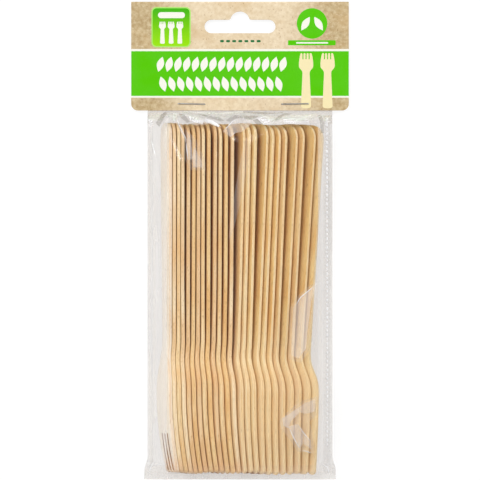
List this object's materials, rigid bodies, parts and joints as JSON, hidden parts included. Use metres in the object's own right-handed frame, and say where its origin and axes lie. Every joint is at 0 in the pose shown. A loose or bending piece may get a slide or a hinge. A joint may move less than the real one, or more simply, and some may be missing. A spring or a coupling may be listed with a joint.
{
  "type": "wooden cutlery pack",
  "caption": "Row of pressed wooden forks standing on edge in a clear gusseted film bag, closed by a folded, stapled kraft card with a hang slot.",
  "frame": {"origin": "centre of the pack's footprint, on the surface that its back panel lies on", "axes": "+X across the pack to the right seen from the front, +Y from the bottom seal towards the hang slot, +Z out of the front panel"},
  "size_m": [0.1, 0.219, 0.03],
  "materials": {
    "birch": "unvarnished, hot pressed",
    "film": "clear glossy film",
    "kraft_card": "matt, speckled, printed on the front",
    "staple_wire": "plain bright wire"
  },
  "bodies": {
    "root": {"fork_01": "birch", "fork_02": "birch", "fork_03": "birch", "fork_04": "birch", "fork_05": "birch", "fork_06": "birch", "fork_07": "birch", "fork_08": "birch", "fork_09": "birch", "fork_10": "birch", "fork_11": "birch", "fork_12": "birch", "fork_13": "birch", "fork_14": "birch", "fork_15": "birch", "fork_16": "birch", "fork_17": "birch", "fork_18": "birch", "fork_19": "birch", "fork_20": "birch", "fork_21": "birch", "fork_22": "birch", "fork_23": "birch", "fork_24": "birch", "film_bag": "film", "header_card": "kraft_card", "staple_left": "staple_wire", "staple_right": "staple_wire"}
  },
  "joints": []
}
